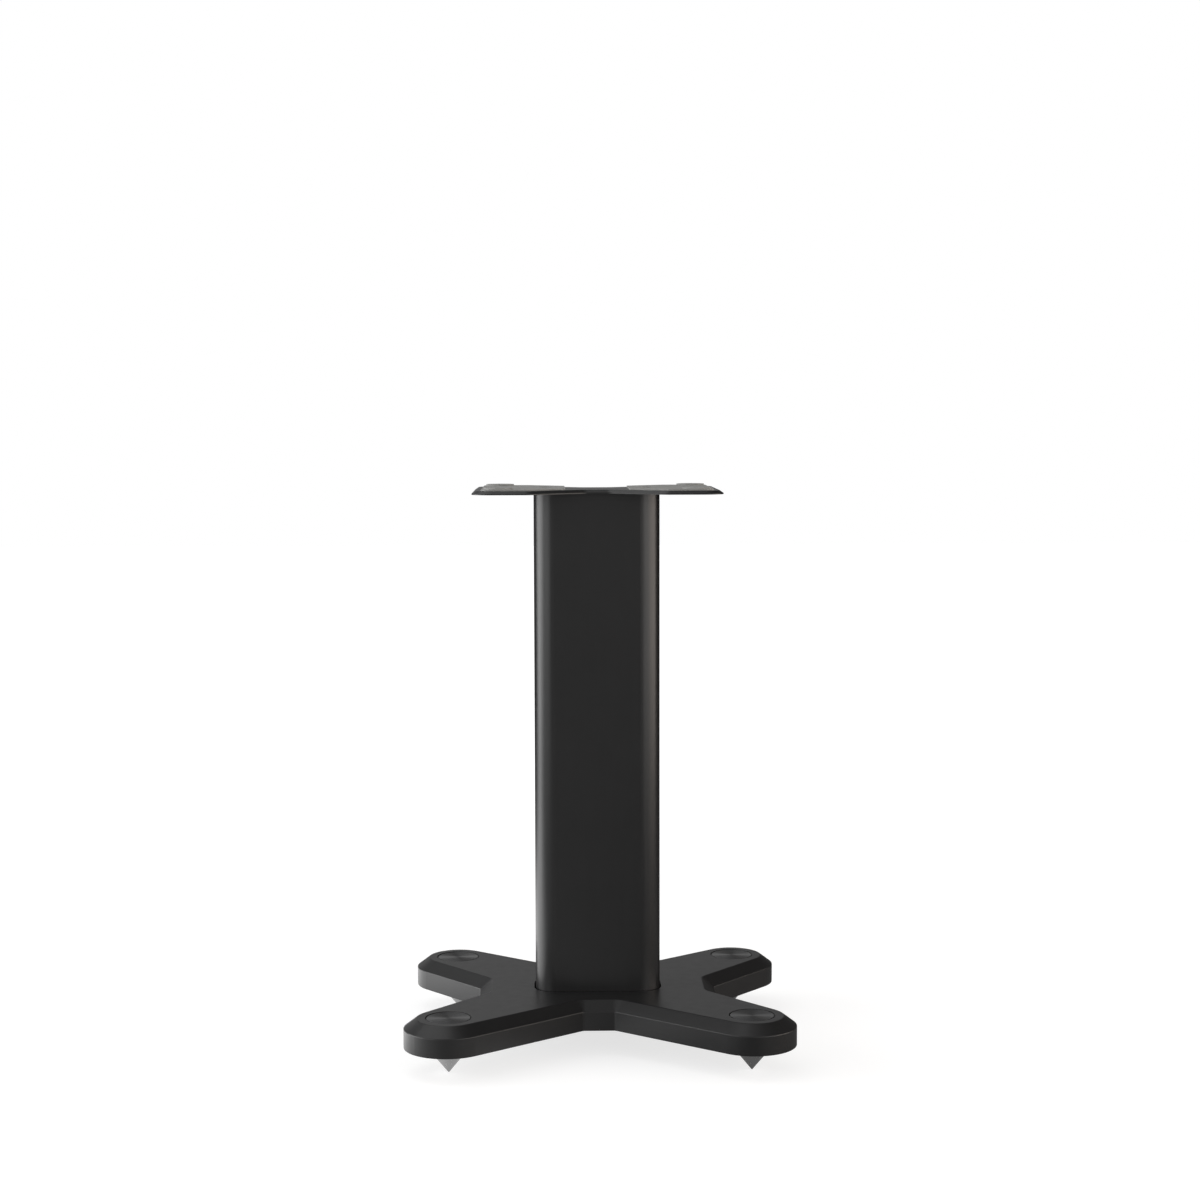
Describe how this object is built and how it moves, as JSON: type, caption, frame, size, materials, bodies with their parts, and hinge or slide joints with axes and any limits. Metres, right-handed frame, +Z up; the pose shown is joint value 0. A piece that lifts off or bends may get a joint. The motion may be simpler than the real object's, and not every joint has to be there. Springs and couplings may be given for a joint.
{
  "type": "speaker stand",
  "caption": "Floor stand for a bookshelf speaker: X-shaped chamfered base on screw-adjusted spikes, flat oval column and a small notched top plate with rubber pads.",
  "frame": {"origin": "on the floor at the spike tips' level, under the column's axis, which is the centre of the base", "axes": "+Z up along the column; X along the column's wide side, which is the direction in which the base is 408 mm long; Y across it, 353 mm. The picture looks along +Y. The stand is drawn from its side there: in use a speaker most likely faces +X."},
  "size_m": [0.4082, 0.3532, 0.6032],
  "materials": {
    "base_coat": "satin black powder coat",
    "column_coat": "satin black coat over extruded aluminium",
    "plate_coat": "satin black powder coat",
    "pad_rubber": "matt light grey rubber",
    "gasket_rubber": "black rubber",
    "disc_metal": "turned, dark anodised",
    "spike_steel": "turned and bright plated",
    "bush_brass": "turned brass",
    "screw_steel": "zinc-plated steel"
  },
  "bodies": {
    "stand": {"base_plate": "base_coat", "base_gasket": "gasket_rubber", "column": "column_coat", "top_plate": "plate_coat", "speaker_pad_left": "pad_rubber", "speaker_pad_right": "pad_rubber", "top_plate_screws": "screw_steel", "base_screws": "screw_steel", "base_washers": "screw_steel", "threaded_bush_front_left": "bush_brass", "threaded_bush_front_right": "bush_brass", "threaded_bush_rear_left": "bush_brass", "threaded_bush_rear_right": "bush_brass"},
    "adjuster_front_left": {"levelling_disc_front_left": "disc_metal", "drive_pin_front_left": "screw_steel", "disc_o_ring_front_left": "gasket_rubber"},
    "foot_front_left": {"spike_front_left": "spike_steel"},
    "adjuster_front_right": {"levelling_disc_front_right": "disc_metal", "drive_pin_front_right": "screw_steel", "disc_o_ring_front_right": "gasket_rubber"},
    "foot_front_right": {"spike_front_right": "spike_steel"},
    "adjuster_rear_left": {"levelling_disc_rear_left": "disc_metal", "drive_pin_rear_left": "screw_steel", "disc_o_ring_rear_left": "gasket_rubber"},
    "foot_rear_left": {"spike_rear_left": "spike_steel"},
    "adjuster_rear_right": {"levelling_disc_rear_right": "disc_metal", "drive_pin_rear_right": "screw_steel", "disc_o_ring_rear_right": "gasket_rubber"},
    "foot_rear_right": {"spike_rear_right": "spike_steel"}
  },
  "joints": [
    {"name": "disc_turn_front_left", "type": "hinge", "parent": "stand", "child": "adjuster_front_left", "pos_m": [-0.1575, -0.13, 0.05], "axis": [0, 0, 1], "range_deg": [-720, 720]},
    {"name": "spike_travel_front_left", "type": "slide", "parent": "adjuster_front_left", "child": "foot_front_left", "axis": [0, 0, 1], "range_m": [-0.003, 0.003]},
    {"name": "disc_turn_front_right", "type": "hinge", "parent": "stand", "child": "adjuster_front_right", "pos_m": [0.1575, -0.13, 0.05], "axis": [0, 0, 1], "range_deg": [-720, 720]},
    {"name": "spike_travel_front_right", "type": "slide", "parent": "adjuster_front_right", "child": "foot_front_right", "axis": [0, 0, 1], "range_m": [-0.003, 0.003]},
    {"name": "disc_turn_rear_left", "type": "hinge", "parent": "stand", "child": "adjuster_rear_left", "pos_m": [-0.1575, 0.13, 0.05], "axis": [0, 0, 1], "range_deg": [-720, 720]},
    {"name": "spike_travel_rear_left", "type": "slide", "parent": "adjuster_rear_left", "child": "foot_rear_left", "axis": [0, 0, 1], "range_m": [-0.003, 0.003]},
    {"name": "disc_turn_rear_right", "type": "hinge", "parent": "stand", "child": "adjuster_rear_right", "pos_m": [0.1575, 0.13, 0.05], "axis": [0, 0, 1], "range_deg": [-720, 720]},
    {"name": "spike_travel_rear_right", "type": "slide", "parent": "adjuster_rear_right", "child": "foot_rear_right", "axis": [0, 0, 1], "range_m": [-0.003, 0.003]}
  ],
  "couplings": [
    {"joint": "spike_travel_front_left", "follows": "disc_turn_front_left", "m_per_rad": 0.0002387},
    {"joint": "spike_travel_front_right", "follows": "disc_turn_front_right", "m_per_rad": 0.0002387},
    {"joint": "spike_travel_rear_left", "follows": "disc_turn_rear_left", "m_per_rad": 0.0002387},
    {"joint": "spike_travel_rear_right", "follows": "disc_turn_rear_right", "m_per_rad": 0.0002387}
  ]
}
